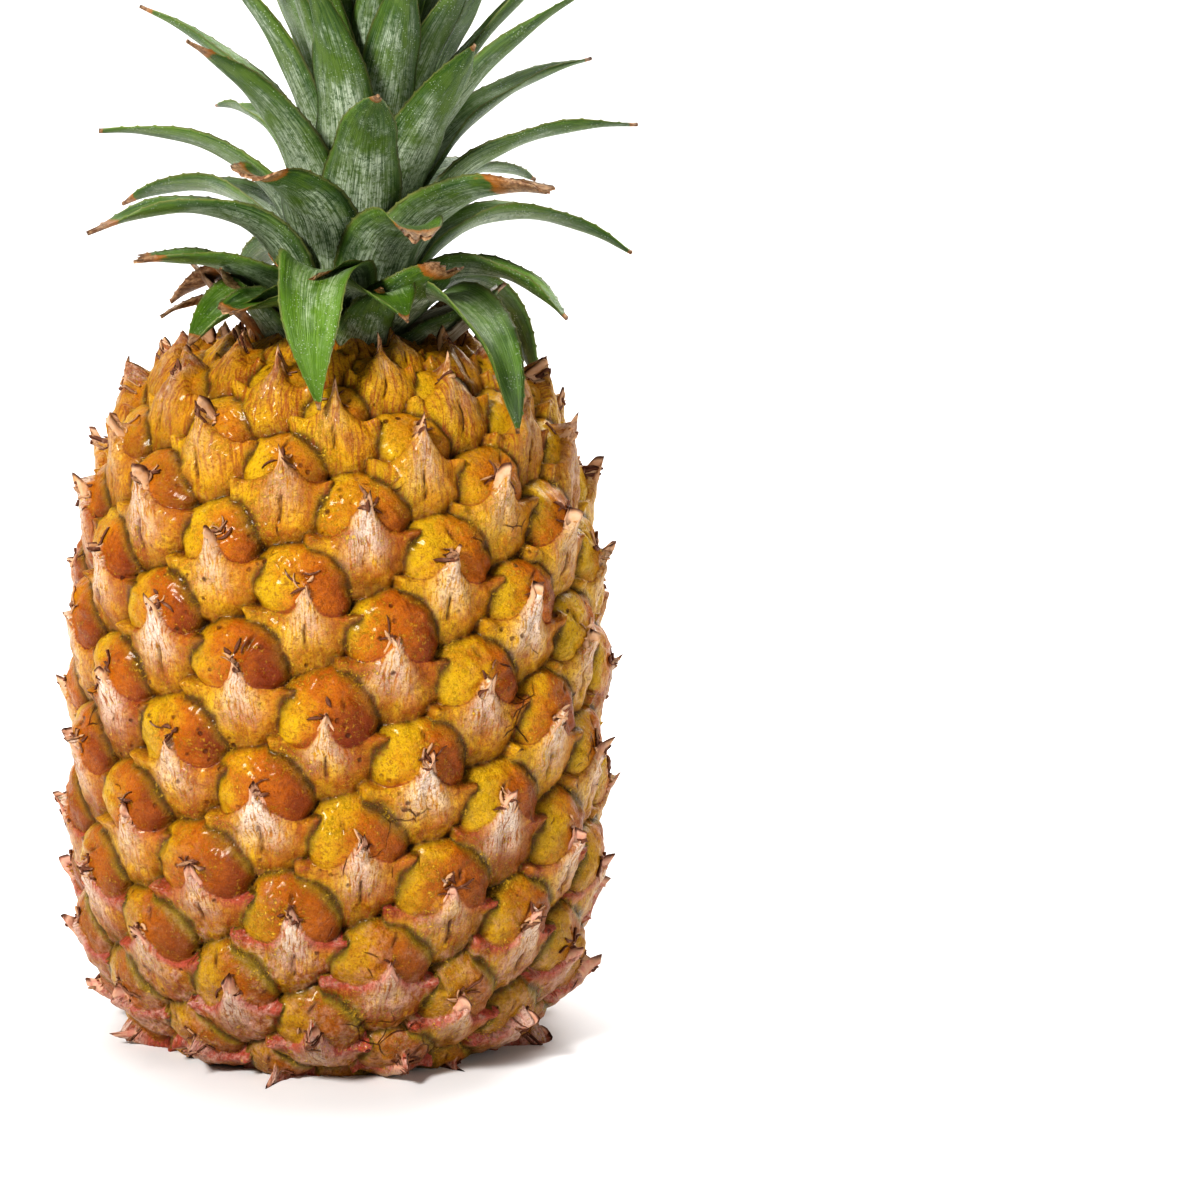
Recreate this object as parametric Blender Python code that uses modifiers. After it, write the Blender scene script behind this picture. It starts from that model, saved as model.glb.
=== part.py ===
"""A whole fresh pineapple standing on its base: the fruit, its cut stalk and a crown of leaves on a short stem.

Metres, +Z up. The origin is the middle of the flat spot that the fruit stands on.
"""

import math
import random

import bmesh
import bpy
import numpy as np

# ---- fruit: a barrel whose half section is a rounded square, set off from the axis by CORE_RADIUS
FRUIT_HEIGHT = 0.1460
BARREL_RADIUS = 0.0535  # to the grooves between the eyes
CORE_RADIUS = 0.0120  # where the barrel meets the stalk and the crown
WAIST_SHARE = 0.40  # height of the widest part, as a share of the fruit's height
TOP_SQUARENESS = 3.0
BASE_SQUARENESS = 3.2
BASE_TRIM = 0.0028  # how much of the rounded underside the flat spot takes away

# ---- eyes: the fruitlets, set on one spiral
EYE_TURN = math.radians(137.43)  # from one eye to the next round the fruit, close to the golden angle
EYE_STEP = 0.00119  # rise along the skin from one eye to the next, at the widest part
EYE_CROWDING = 0.89  # 0 keeps that rise near the ends, 1 shrinks it with the girth
EYE_PHASE = math.radians(169.0)
EYE_START = 0.07  # of an eye's step, from the widest part down to eye 0
EYE_RISE = 0.0050  # of a dome above the grooves
BRACT_RISE = 0.0072  # of a bract's tip above the grooves
EYE_FADE = 0.016  # length of skin over which the eyes die out towards the core

# ---- cut stalk and crown stem
STALK_RADIUS = 0.0105
STALK_DEPTH = 0.0060
SEAT_GAP = 0.0003  # between pieces that meet
STEM_FOOT_RADIUS = 0.0140
STEM_TIP_RADIUS = 0.0022
STEM_TAPER = 1.3  # over 1 keeps the stem stout low down
STEM_LENGTH = 0.0560
STEM_SINK = 0.0040  # how deep the stem sits in the fruit's top
CROWN_FOOT = FRUIT_HEIGHT - STEM_SINK
CROWN_TILT = math.radians(6.0)  # towards +X

# ---- leaves
LEAF_COUNT = 54
LEAF_ROWS = 8
LEAF_COLUMNS = 4
MARGIN_SHARE = 0.35  # of a leaf's thickness at its edges
LEAF_PHASE = math.radians(-135.0)
GOLDEN_ANGLE = math.pi * (3.0 - math.sqrt(5.0))
FIRST_LEAF_HEIGHT = 0.0050  # on the stem, above its foot
LAST_LEAF_HEIGHT = STEM_LENGTH - 0.0025
LEAF_STEP = (LAST_LEAF_HEIGHT - FIRST_LEAF_HEIGHT) / (LEAF_COUNT - 1)  # up the stem from one leaf to the next
OLD_THICKNESS = 1.15 * LEAF_STEP  # of the lowest leaf's middle
YOUNG_THICKNESS = 0.50 * LEAF_STEP
YOUNG_TIP_LEAN = math.radians(8.0)
ARCHING_LEAN = math.radians(112.0)  # added to that in an old leaf
HALF_LEAN_AGE = 0.50  # the age at which half of it is left
FRONT_RISE = 0.13  # taken off that age at the front, -Y, where the younger leaves stand straighter
FRONT_SHORTENING = 0.17  # of those leaves
LEAN_FALL = 3.0
SKIRT = (  # the lowest leaves, which hang over the fruit: length, lean of the tip, sway
    (0.0340, math.radians(138.0), math.radians(-4.0)),
    (0.0480, math.radians(140.0), math.radians(5.0)),
    (0.0545, math.radians(170.0), math.radians(4.0)),
    (0.0300, math.radians(128.0), math.radians(-3.0)),
    (0.0500, math.radians(150.0), math.radians(-6.0)),
    (0.0545, math.radians(170.0), math.radians(10.0)),
    (0.0440, math.radians(132.0), math.radians(4.0)),
    (0.0420, math.radians(122.0), math.radians(-5.0)),
)
SKIRT_GAP = 0.0006  # at least, between these leaves and the bracts under them
LEAN_STEP = math.radians(2.0)  # a leaf that would touch the fruit is raised by this until it doesn't
BLUNT = {10: 0.86, 13: 0.78, 15: 0.86}  # leaves that lost their tips, and the share of each that is left
CLASP_ANGLE = math.radians(40.0)  # half the angle that a leaf's base takes round the stem
TROUGH_ANGLE = math.radians(50.0)  # the same across the blade, which is a trough
TIP_WIDTH = 0.0008
SPREAD_SEED = 11

# ---- mesh detail
FRUIT_SEGMENTS = 190
FRUIT_ROWS = 130
FRUIT_TRIANGLES = 7000
CORE_EDGE = 0.0010  # skin this close to the core keeps its full detail
ROUND_SEGMENTS = 32
CUTTER_MARGIN = 0.0100


def smoothstep(x):
    x = np.clip(x, 0.0, 1.0)
    return x * x * (3.0 - 2.0 * x)


def material(name, colour, roughness):
    made = bpy.data.materials.new(name)
    made.use_nodes = True
    shader = made.node_tree.nodes["Principled BSDF"]
    shader.inputs["Base Color"].default_value = (*colour, 1.0)
    shader.inputs["Roughness"].default_value = roughness
    shader.inputs["Metallic"].default_value = 0.0
    return made


# ---------------------------------------------------------------- fruit


def barrel_half(height, squareness, turn):
    """Radius and height of the barrel's section, for turn from -90 degrees (below) to 90 (above)."""
    power = 2.0 / squareness
    radius = CORE_RADIUS + (BARREL_RADIUS - CORE_RADIUS) * np.cos(turn) ** power
    return radius, height * np.sign(turn) * np.abs(np.sin(turn)) ** power


def barrel_profile():
    """The section from the middle of the underside to the middle of the top, as (length along it, radius, height)."""
    waist = FRUIT_HEIGHT * WAIST_SHARE
    down, up = np.linspace(-math.pi / 2, 0, 200), np.linspace(0, math.pi / 2, 200)[1:]
    low_radius, low_height = barrel_half(waist + BASE_TRIM, BASE_SQUARENESS, down)
    top_radius, top_height = barrel_half(FRUIT_HEIGHT - waist, TOP_SQUARENESS, up)
    radius = np.concatenate([[0.0], low_radius, top_radius, [0.0]])
    height = np.concatenate([low_height[:1], low_height, top_height, top_height[-1:]]) + waist
    along = np.concatenate([[0.0], np.cumsum(np.hypot(np.diff(radius), np.diff(height)))])
    return along, radius, height


def eye_counts(along, radius):
    """How many eyes have been passed at each place along the section, counting from the widest part."""
    rise = EYE_STEP * (np.maximum(radius, CORE_RADIUS) / BARREL_RADIUS) ** EYE_CROWDING
    passed = np.concatenate([[0.0], np.cumsum(np.diff(along) / ((rise[1:] + rise[:-1]) / 2))])
    return passed - passed[np.argmax(radius)] + EYE_START, rise


def eye_heights(angle, passed, radius, rise):
    """Height of the skin above the grooves: a dome over each eye, and the bract that cups it from below."""
    reach = 23
    nearest = np.full(len(angle), np.inf)
    second = np.full(len(angle), np.inf)
    across = np.zeros(len(angle))
    up = np.zeros(len(angle))
    for step in range(-reach, reach + 1):
        eye = np.round(passed) + step
        turn = angle + eye * EYE_TURN - EYE_PHASE
        turn = (turn + math.pi) % (2.0 * math.pi) - math.pi
        dx, dy = turn * radius, (passed - eye) * rise
        distance = np.hypot(dx, dy)
        closer = distance < nearest
        second = np.where(closer, nearest, np.minimum(second, distance))
        across = np.where(closer, dx, across)
        up = np.where(closer, dy, up)
        nearest = np.where(closer, distance, nearest)
    half = np.sqrt(rise * 2.0 * math.pi * radius) * 0.537  # half the way from one eye to the next
    x, y = np.abs(across) / half, up / half
    groove = np.clip((second - nearest) / half, 0.0, 1.0)
    dome = EYE_RISE * np.sqrt(np.clip(groove * (2.0 - groove), 0.0, 1.0))
    ridge = np.clip(1.0 - x / (0.35 + 0.65 * smoothstep((y + 1.1) / 1.1)), 0.0, 1.0)
    slope = np.clip((y + 1.2) / 1.25, 0.0, 1.0) * (1.0 - smoothstep((y - 0.05) / 0.25))
    return np.maximum(dome, BRACT_RISE * ridge**0.8 * slope * np.minimum(1.0, groove * 4.0))


def bake_modifiers(piece):
    """Swaps the piece's mesh for the one that its modifiers make of it."""
    bpy.context.view_layer.update()
    graph = bpy.context.evaluated_depsgraph_get()
    piece.data = bpy.data.meshes.new_from_object(piece.evaluated_get(graph))
    piece.modifiers.clear()


def add_fruit(skin, cutters, parts):
    """A UV sphere moved on to the barrel, with its eyes raised, cut, thinned to its triangle budget and kept flat."""
    mesh = bpy.data.meshes.new("fruit")
    ball = bmesh.new()
    bmesh.ops.create_uvsphere(ball, u_segments=FRUIT_SEGMENTS, v_segments=FRUIT_ROWS, radius=1.0)
    points = np.array([v.co for v in ball.verts])
    angle = np.arctan2(points[:, 1], points[:, 0])
    share = 0.5 + np.arcsin(np.clip(points[:, 2], -1.0, 1.0)) / math.pi
    along, radius, height = barrel_profile()
    passed, rise = eye_counts(along, radius)
    here = share * along[-1]
    out, lift = np.gradient(height, along), -np.gradient(radius, along)
    r, z = np.interp(here, along, radius), np.interp(here, along, height)
    normal_r, normal_z = np.interp(here, along, out), np.interp(here, along, lift)
    from_core = np.minimum(here, along[-1] - here) - CORE_RADIUS
    raised = smoothstep(from_core / EYE_FADE) * eye_heights(
        angle, np.interp(here, along, passed), np.maximum(r, CORE_RADIUS), np.interp(here, along, rise)
    )
    r, z = r + raised * normal_r, z + raised * normal_z
    for vertex, x, y, up in zip(ball.verts, r * np.cos(angle), r * np.sin(angle), z):
        vertex.co = (x, y, up)
    bmesh.ops.triangulate(ball, faces=ball.faces[:])
    faces = len(ball.faces)
    ball.to_mesh(mesh)
    ball.free()
    mesh.materials.append(skin)
    fruit = bpy.data.objects.new("fruit", mesh)
    parts.objects.link(fruit)
    for cutter in cutters:
        cut = fruit.modifiers.new(cutter.name, "BOOLEAN")
        cut.operation = "DIFFERENCE"
        cut.solver = "EXACT"
        cut.object = cutter
    bake_modifiers(fruit)
    skin_group = fruit.vertex_groups.new(name="skin")
    near_core = max(STALK_RADIUS, STEM_FOOT_RADIUS) + CORE_EDGE
    for vertex in fruit.data.vertices:
        if math.hypot(vertex.co.x, vertex.co.y) > near_core and vertex.co.z > 0.0:
            skin_group.add([vertex.index], 1.0, "REPLACE")
    thin = fruit.modifiers.new("thin", "DECIMATE")
    thin.ratio = FRUIT_TRIANGLES / faces
    thin.vertex_group = skin_group.name
    bake_modifiers(fruit)
    for vertex in fruit.data.vertices:
        vertex.co.z = max(vertex.co.z, 0.0)
    fruit.data.shade_smooth()


# ---------------------------------------------------------------- turned pieces


def turned_object(name, profile, look):
    """A solid turned about Z from (radius, height) points that run down its outer side from axis to axis."""
    mesh = bpy.data.meshes.new(name)
    section = bmesh.new()
    corners = [section.verts.new((radius, 0.0, height)) for radius, height in profile]
    for first, last in zip(corners, corners[1:]):
        section.edges.new((first, last))
    section.to_mesh(mesh)
    section.free()
    mesh.materials.append(look)
    made = bpy.data.objects.new(name, mesh)
    turn = made.modifiers.new("turn", "SCREW")
    turn.steps = turn.render_steps = ROUND_SEGMENTS
    turn.use_merge_vertices = True
    turn.merge_threshold = 1e-5
    turn.use_smooth_shade = False
    return made


def stem_radius(height):
    """The crown stem's radius, which tapers from foot to tip."""
    share = np.clip(height / STEM_LENGTH, 0.0, 1.0)
    return STEM_FOOT_RADIUS + (STEM_TIP_RADIUS - STEM_FOOT_RADIUS) * share**STEM_TAPER


def stem_profile():
    heights = np.linspace(STEM_LENGTH, 0.0, 9)
    side = [(float(stem_radius(height)), float(height)) for height in heights]
    return [(0.0, STEM_LENGTH + STEM_TIP_RADIUS / 2), *side, (0.0, 0.0)]


def cylinder_profile(radius, low, high):
    return [(0.0, high), (radius, high), (radius, low), (0.0, low)]


def cutter_object(name, radius, low, high):
    made = turned_object(name, cylinder_profile(radius, low, high), None)
    made.hide_render = True
    made.display_type = "WIRE"
    return made


# ---------------------------------------------------------------- leaves


class Leaf:
    """One leaf's sizes, from its place in the spiral: 0 is the lowest leaf and 1 the youngest."""

    def __init__(self, number, spread):
        age = number / (LEAF_COUNT - 1)
        self.number = number
        self.height = FIRST_LEAF_HEIGHT + LEAF_STEP * number
        self.thickness = OLD_THICKNESS + (YOUNG_THICKNESS - OLD_THICKNESS) * age
        self.azimuth = LEAF_PHASE - number * GOLDEN_ANGLE + math.radians(spread.uniform(-3, 3))
        self.length = (0.044 + 0.021 * math.sin(math.pi * age / 1.15)) * spread.uniform(0.94, 1.06)
        self.width = (0.0220 - 0.0050 * age - 0.0080 * age**3) * spread.uniform(0.95, 1.05)
        self.foot_lean = math.radians(10.0 - 4.0 * age)
        frontness = ((1.0 - math.sin(self.azimuth)) / 2.0) ** 2 * smoothstep((age - 0.15) / 0.2)
        self.length *= 1.0 - FRONT_SHORTENING * frontness
        half_age = HALF_LEAN_AGE - FRONT_RISE * frontness
        self.tip_lean = YOUNG_TIP_LEAN + ARCHING_LEAN / (1.0 + (age / half_age) ** LEAN_FALL)
        self.sway = math.radians(spread.uniform(-9, 9))
        if number < len(SKIRT):
            self.length, self.tip_lean, self.sway = SKIRT[number]
        self.kept = BLUNT.get(number, 1.0)
        self.early_bend = 1.4 + 0.5 * (1.0 - age) ** 3

        if number < len(SKIRT):
            while not self.clears_fruit():
                self.tip_lean -= LEAN_STEP

    def clears_fruit(self):
        """Whether the leaf stays off the eyes, its thickness and a gap allowed for."""
        along, across = np.meshgrid(np.linspace(0.15, 1.0, 18), np.linspace(-1.0, 1.0, 5))
        x, y, z = self.points(along.ravel(), across.ravel()).T
        x, z = (
            x * math.cos(CROWN_TILT) + z * math.sin(CROWN_TILT),
            z * math.cos(CROWN_TILT) - x * math.sin(CROWN_TILT) + CROWN_FOOT,
        )
        _, skin_radius, skin_height = barrel_profile()
        top = skin_height > FRUIT_HEIGHT * WAIST_SHARE
        skin_radius, skin_height = skin_radius[top], skin_height[top]
        out = np.hypot(x, y)
        room = np.hypot(out[:, None] - skin_radius, z[:, None] - skin_height).min(axis=1)
        inside = out < np.interp(z, skin_height, skin_radius, right=0.0)
        return not inside.any() and room.min() > EYE_RISE + self.thickness / 2 + SKIRT_GAP

    def lean(self, along):
        """Angle of the midrib from the stem's axis."""
        bent = 1.0 - (1.0 - along) ** self.early_bend
        return self.foot_lean + (self.tip_lean - self.foot_lean) * bent

    def half_width(self, along):
        foot = CLASP_ANGLE * (stem_radius(self.height) + SEAT_GAP)
        middle = self.width / 2
        widening = foot + (middle - foot) * smoothstep(along / 0.25)
        return np.maximum(widening * (1.0 - along**2.2) ** 0.9, TIP_WIDTH / 2)

    def points(self, along, across):
        """Places on the leaf's middle surface, for along from 0 to 1 and across from -1 to 1."""
        along = along * self.kept
        steps = np.linspace(0.0, 1.0, 81)
        lean = self.lean(steps)
        middle = (lean[1:] + lean[:-1]) / 2
        out = np.concatenate([[0.0], np.cumsum(np.sin(middle))]) * self.length / 80
        up = np.concatenate([[0.0], np.cumsum(np.cos(middle))]) * self.length / 80
        foot = stem_radius(self.height) + SEAT_GAP + self.thickness / 2
        wrap = CLASP_ANGLE + (TROUGH_ANGLE - CLASP_ANGLE) * smoothstep(along / 0.4)
        channel = self.half_width(along) / wrap
        turn = across * wrap
        tilt = self.lean(along)
        lift = channel * (1.0 - np.cos(turn))
        x = foot + np.interp(along, steps, out) - lift * np.cos(tilt)
        y = channel * np.sin(turn)
        z = self.height + np.interp(along, steps, up) + lift * np.sin(tilt)
        spin = self.azimuth + self.sway * along**2
        return np.stack([x * np.cos(spin) - y * np.sin(spin), x * np.sin(spin) + y * np.cos(spin), z], 1)


def leaf_object(leaf, look):
    """A grid laid on the leaf's middle surface and thickened, thinner at its edges."""
    name = f"leaf_{leaf.number + 1:02d}"
    mesh = bpy.data.meshes.new(name)
    grid = bmesh.new()
    bmesh.ops.create_grid(grid, x_segments=LEAF_ROWS, y_segments=LEAF_COLUMNS, size=0.5)
    flat = np.array([v.co for v in grid.verts])
    across = 2.0 * flat[:, 1]
    for vertex, place in zip(grid.verts, leaf.points(flat[:, 0] + 0.5, across)):
        vertex.co = place
    grid.to_mesh(mesh)
    grid.free()
    mesh.materials.append(look)
    mesh.shade_smooth()
    made = bpy.data.objects.new(name, mesh)
    middle = made.vertex_groups.new(name="middle")
    for index, off in enumerate(across):
        middle.add([index], 1.0 - abs(off) ** 1.5, "REPLACE")
    thicken = made.modifiers.new("thicken", "SOLIDIFY")
    thicken.thickness = leaf.thickness
    thicken.offset = 0.0
    thicken.vertex_group = "middle"
    thicken.thickness_vertex_group = MARGIN_SHARE
    return made


# ---------------------------------------------------------------- the whole


def build():
    for old in list(bpy.data.objects):
        bpy.data.objects.remove(old, do_unlink=True)
    parts = bpy.data.collections.new("pineapple")
    cutters = bpy.data.collections.new("cutters")
    for collection in (parts, cutters):
        bpy.context.scene.collection.children.link(collection)

    skin = material("pineapple_skin", (0.78, 0.42, 0.08), 0.45)
    fibre = material("cut_fibre", (0.72, 0.62, 0.40), 0.80)
    pith = material("crown_pith", (0.70, 0.72, 0.48), 0.70)
    green = material("leaf_green", (0.16, 0.30, 0.12), 0.50)

    crown = bpy.data.objects.new("crown", None)
    crown.location = (0.0, 0.0, CROWN_FOOT)
    crown.rotation_euler = (0.0, CROWN_TILT, 0.0)
    parts.objects.link(crown)

    ground = cutter_object("ground", BARREL_RADIUS, -CUTTER_MARGIN, 0.0)
    stalk_hole = cutter_object(
        "stalk_hole", STALK_RADIUS + SEAT_GAP, -CUTTER_MARGIN, STALK_DEPTH + SEAT_GAP
    )
    stem_hole = cutter_object("stem_hole", STEM_FOOT_RADIUS + SEAT_GAP, -SEAT_GAP, CUTTER_MARGIN)
    stem_hole.parent = crown
    for cutter in (ground, stalk_hole, stem_hole):
        cutters.objects.link(cutter)

    add_fruit(skin, [ground, stalk_hole, stem_hole], parts)
    parts.objects.link(
        turned_object("cut_stalk", cylinder_profile(STALK_RADIUS, 0.0, STALK_DEPTH), fibre)
    )
    stem = turned_object("crown_stem", stem_profile(), pith)
    stem.parent = crown
    parts.objects.link(stem)

    spread = random.Random(SPREAD_SEED)
    for number in range(LEAF_COUNT):
        leaf = leaf_object(Leaf(number, spread), green)
        leaf.parent = crown
        parts.objects.link(leaf)


build()
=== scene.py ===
"""How the pineapple looks: a fine skin with eyes, bracts and dried flowers, toothed leaves with dry tips, and
a soft pale studio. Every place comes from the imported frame. Metres, +Z up, the photograph's side is -Y."""

import math
import random

import bpy
import numpy as np
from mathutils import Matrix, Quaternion, Vector


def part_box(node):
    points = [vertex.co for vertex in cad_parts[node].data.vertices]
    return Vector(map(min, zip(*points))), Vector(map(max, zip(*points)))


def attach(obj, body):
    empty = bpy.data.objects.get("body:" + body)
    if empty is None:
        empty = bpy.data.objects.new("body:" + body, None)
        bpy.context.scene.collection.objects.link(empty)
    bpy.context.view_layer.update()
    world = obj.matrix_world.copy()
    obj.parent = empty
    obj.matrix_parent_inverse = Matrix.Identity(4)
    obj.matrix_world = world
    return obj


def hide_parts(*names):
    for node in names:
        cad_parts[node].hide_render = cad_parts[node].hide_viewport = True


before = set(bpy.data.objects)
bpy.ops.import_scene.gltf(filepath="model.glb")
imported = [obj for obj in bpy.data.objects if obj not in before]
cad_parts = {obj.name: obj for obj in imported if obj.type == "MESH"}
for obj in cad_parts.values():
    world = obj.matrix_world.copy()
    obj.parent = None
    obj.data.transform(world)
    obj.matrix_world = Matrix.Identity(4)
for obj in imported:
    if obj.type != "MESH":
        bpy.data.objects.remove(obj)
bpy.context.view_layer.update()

# ---- sizes

FRUIT_LOW, FRUIT_HIGH = (Vector(corner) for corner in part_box("fruit"))
STALK_LOW, STALK_HIGH = (Vector(corner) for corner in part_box("cut_stalk"))

FRUIT_HEIGHT = FRUIT_HIGH.z - 0.0043  # the top of the barrel under its eyes
BARREL_RADIUS = (FRUIT_HIGH.x - FRUIT_LOW.x) / 2 - 0.0058
CORE_RADIUS = 0.0120
WAIST_SHARE = 0.40
TOP_SQUARENESS = 3.0
BASE_SQUARENESS = 3.2
BASE_TRIM = 0.0028
EYE_TURN = math.radians(137.43)
EYE_STEP = 0.00119
EYE_CROWDING = 0.89
EYE_PHASE = math.radians(169.0)
EYE_START = 0.07
EYE_RISE = 0.0050
FULL_EYE = 0.0113  # half the width of the widest eyes
EYE_HALF_SHARE = 0.537  # of the square root of an eye's area
EYE_REACH = 26.0  # millimetres of a full eye, past which an eye has no effect
EYE_NEIGHBOURS = 23  # up and down the spiral, the farthest of them that can touch
EYE_FADE = 0.007

STALK_RADIUS = (STALK_HIGH.x - STALK_LOW.x) / 2
STEM_SINK = 0.0040
CROWN_FOOT = FRUIT_HEIGHT - STEM_SINK
CROWN_TILT = math.radians(6.0)
STEM_FOOT_RADIUS = 0.0140
STEM_TIP_RADIUS = 0.0022
STEM_TAPER = 1.3
STEM_LENGTH = 0.0560
SEAT_GAP = 0.0003

LEAF_COUNT = sum(name.startswith("leaf_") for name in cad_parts)
GOLDEN_ANGLE = math.pi * (3.0 - math.sqrt(5.0))
LEAF_PHASE = math.radians(-135.0)
FIRST_LEAF_HEIGHT = 0.0050
LAST_LEAF_HEIGHT = STEM_LENGTH - 0.0025
LEAF_STEP = (LAST_LEAF_HEIGHT - FIRST_LEAF_HEIGHT) / (LEAF_COUNT - 1)
OLD_THICKNESS = 1.15 * LEAF_STEP
YOUNG_THICKNESS = 0.50 * LEAF_STEP
MARGIN_SHARE = 0.30
YOUNG_TIP_LEAN = math.radians(8.0)
ARCHING_LEAN = math.radians(112.0)
HALF_LEAN_AGE = 0.50
FRONT_RISE = 0.13
FRONT_SHORTENING = 0.17
LEAN_FALL = 3.0
SKIRT = (  # length, tip lean and sway; metres and degrees
    (0.0340, 138, -4),
    (0.0480, 140, 5),
    (0.0545, 170, 4),
    (0.0300, 128, -3),
    (0.0500, 150, -6),
    (0.0545, 170, 10),
    (0.0440, 132, 4),
    (0.0420, 122, -5),
)
SKIRT_GAP = 0.0006
LEAN_STEP = math.radians(2.0)
BLUNT = {10: 0.86, 13: 0.78, 15: 0.86}
DRY_TIPS = {  # the share of a leaf, counted from its tip
    3: 0.45, 8: 0.10, 10: 0.14, 11: 0.07, 13: 0.13, 15: 0.24, 18: 0.05, 21: 0.10, 24: 0.05, 31: 0.05, 0: 0.06
}
CLASP_ANGLE = math.radians(40.0)
TROUGH_ANGLE = math.radians(50.0)
TIP_WIDTH = 0.0008
SPREAD_SEED = 11
NECK = (  # azimuth, height, length, width, foot lean, tip lean, sway, kept, dryness, paleness; degrees, mm
    (-80, 0.5, 25, 16, 45, 150, 0, 1.0, 0.05, 0),
    (-62, 8.0, 34, 20, 55, 135, 6, 0.84, 0.15, 0),
    (-118, 7.0, 32, 19, 50, 118, -12, 0.90, 0.10, 0),
    (-106, 15.0, 30, 22, 52, 120, -4, 0.80, 0.13, 0),
    (-148, 11.0, 40, 19, 55, 102, -6, 0.95, 0.12, 0),
    (-82, 12.0, 30, 22, 50, 118, 8, 1.0, 0.05, 0),
    (-146, 1.0, 24, 14, 45, 140, -8, 1.0, 0.10, 0),
    (-30, 4.0, 25, 13, 50, 130, 18, 0.90, 0.25, 0),
    (-12, 1.5, 23, 11, 50, 140, -25, 1.0, 0.95, 1),
    (-22, 8.5, 21, 10, 55, 118, 30, 1.0, 0.95, 1),
    (8, 3.0, 27, 13, 48, 135, 10, 1.0, 0.10, 0),
    (32, 1.0, 24, 14, 45, 140, 12, 1.0, 0.50, 0),
    (62, 5.0, 27, 16, 50, 125, -10, 0.90, 0.15, 0),
    (90, 0.5, 24, 14, 45, 145, 8, 1.0, 0.60, 1),
    (118, 5.5, 28, 16, 50, 125, 5, 0.88, 0.16, 0),
    (148, 1.5, 25, 13, 45, 140, -14, 1.0, 0.85, 0),
    (172, 6.5, 27, 10, 52, 120, 22, 1.0, 0.95, 0),
    (188, 1.0, 26, 12, 50, 140, -18, 1.0, 0.80, 0),
    (202, 4.0, 24, 10, 55, 128, 16, 1.0, 0.95, 0),
)

SKIN_COLUMNS = 800
SKIN_END = 0.0125  # short of the axis, where the crown's stem goes in
SKIN_ROWS = 430
COLLAR_DEPTH = 0.004
LEAF_ROWS = 96
LEAF_COLUMNS = 10


def smoothstep(x):
    x = np.clip(x, 0.0, 1.0)
    return x * x * (3.0 - 2.0 * x)


def summed(steps):
    """Running total from zero."""
    return np.concatenate([[0.0], np.cumsum(steps)])


def waves(points, per_metre, seed, count=7):
    """Smooth noise from -1 to 1 at places in space."""
    spread = np.random.default_rng(seed)
    total = np.zeros(len(points))
    for _ in range(count):
        way = spread.normal(size=3)
        way *= per_metre * spread.uniform(0.6, 1.4) * 2.0 * math.pi / np.linalg.norm(way)
        total += np.sin(points @ way + spread.uniform(0.0, 2.0 * math.pi))
    return total / math.sqrt(count) * 0.8


# ---- meshes


def grid_faces(rows, columns, wrap):
    """Quads of a grid of points stored row by row. wrap joins its last column to its first."""
    i, j = np.meshgrid(np.arange(rows - 1), np.arange(columns if wrap else columns - 1), indexing="ij")
    right = (j + 1) % columns
    low, high = i * columns, (i + 1) * columns
    return np.stack([low + j, low + right, high + right, high + j], -1).reshape(-1, 4)


def placed(name, data):
    """A new object with this data, in the scene."""
    made = bpy.data.objects.new(name, data)
    bpy.context.scene.collection.objects.link(made)
    return made


def make_piece(name, points, faces, material, values=None, replaces=None):
    """A smooth mesh from places and faces, carrying named numbers for its material to read."""
    mesh = bpy.data.meshes.new(name)
    mesh.from_pydata(np.asarray(points).tolist(), [], [list(map(int, face)) for face in faces])
    for key, numbers in (values or {}).items():
        mesh.attributes.new(key, "FLOAT", "POINT").data.foreach_set("value", np.asarray(numbers, np.float32))
    mesh.materials.append(material)
    mesh.shade_smooth()
    mesh.update()
    piece = placed(name, mesh)
    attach(piece, "root")
    if replaces:
        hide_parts(replaces)
    return piece


# ---- materials


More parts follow.
